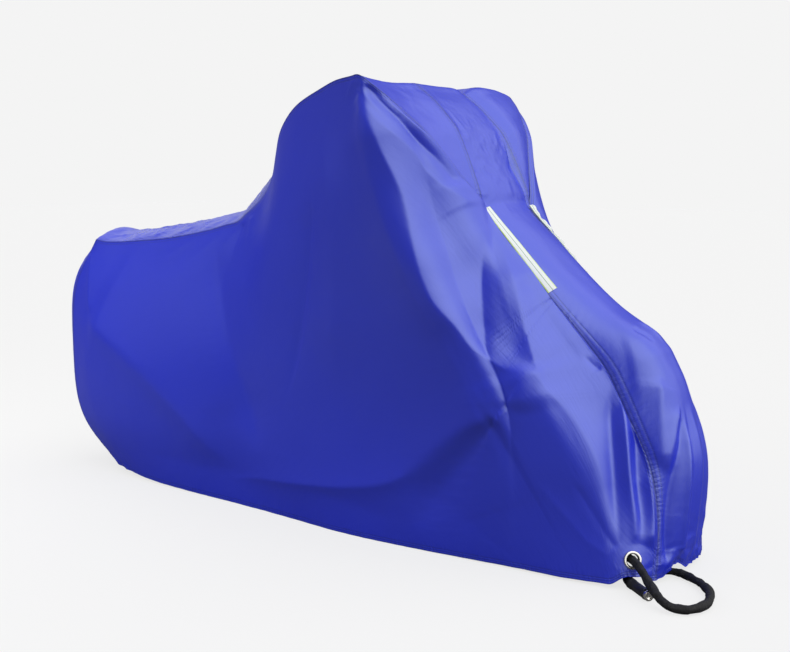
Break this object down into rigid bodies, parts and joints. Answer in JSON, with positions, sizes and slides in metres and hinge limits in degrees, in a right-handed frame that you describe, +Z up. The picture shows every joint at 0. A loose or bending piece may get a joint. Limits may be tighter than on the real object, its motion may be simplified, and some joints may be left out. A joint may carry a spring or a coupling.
{
  "type": "motorcycle cover",
  "caption": "Draped fabric cover with a raised handlebar hump, a strip of cloth over the middle, eyelets at the lower front and a lock strap.",
  "frame": {"origin": "centre of the cover's footprint on the floor, measured without the lock and its strap", "axes": "+X towards the front wheel, +Y to the rider's left, +Z up"},
  "size_m": [2.3542, 0.766, 1.2102],
  "materials": {
    "cloth": "satin coated taffeta",
    "tape": "silvery reflective",
    "metal": "polished",
    "sleeve": "woven, matt",
    "lock_plastic": "satin"
  },
  "bodies": {
    "root": {"centre_panel": "cloth", "side_panel_right": "cloth", "side_panel_left": "cloth", "handlebar_gusset_right": "cloth", "handlebar_gusset_left": "cloth", "reflective_strip_right": "tape", "reflective_strip_left": "tape", "eyelet_right": "metal", "eyelet_left": "metal", "lock_strap": "sleeve", "lock_body": "lock_plastic", "lock_cap": "metal"}
  },
  "joints": []
}
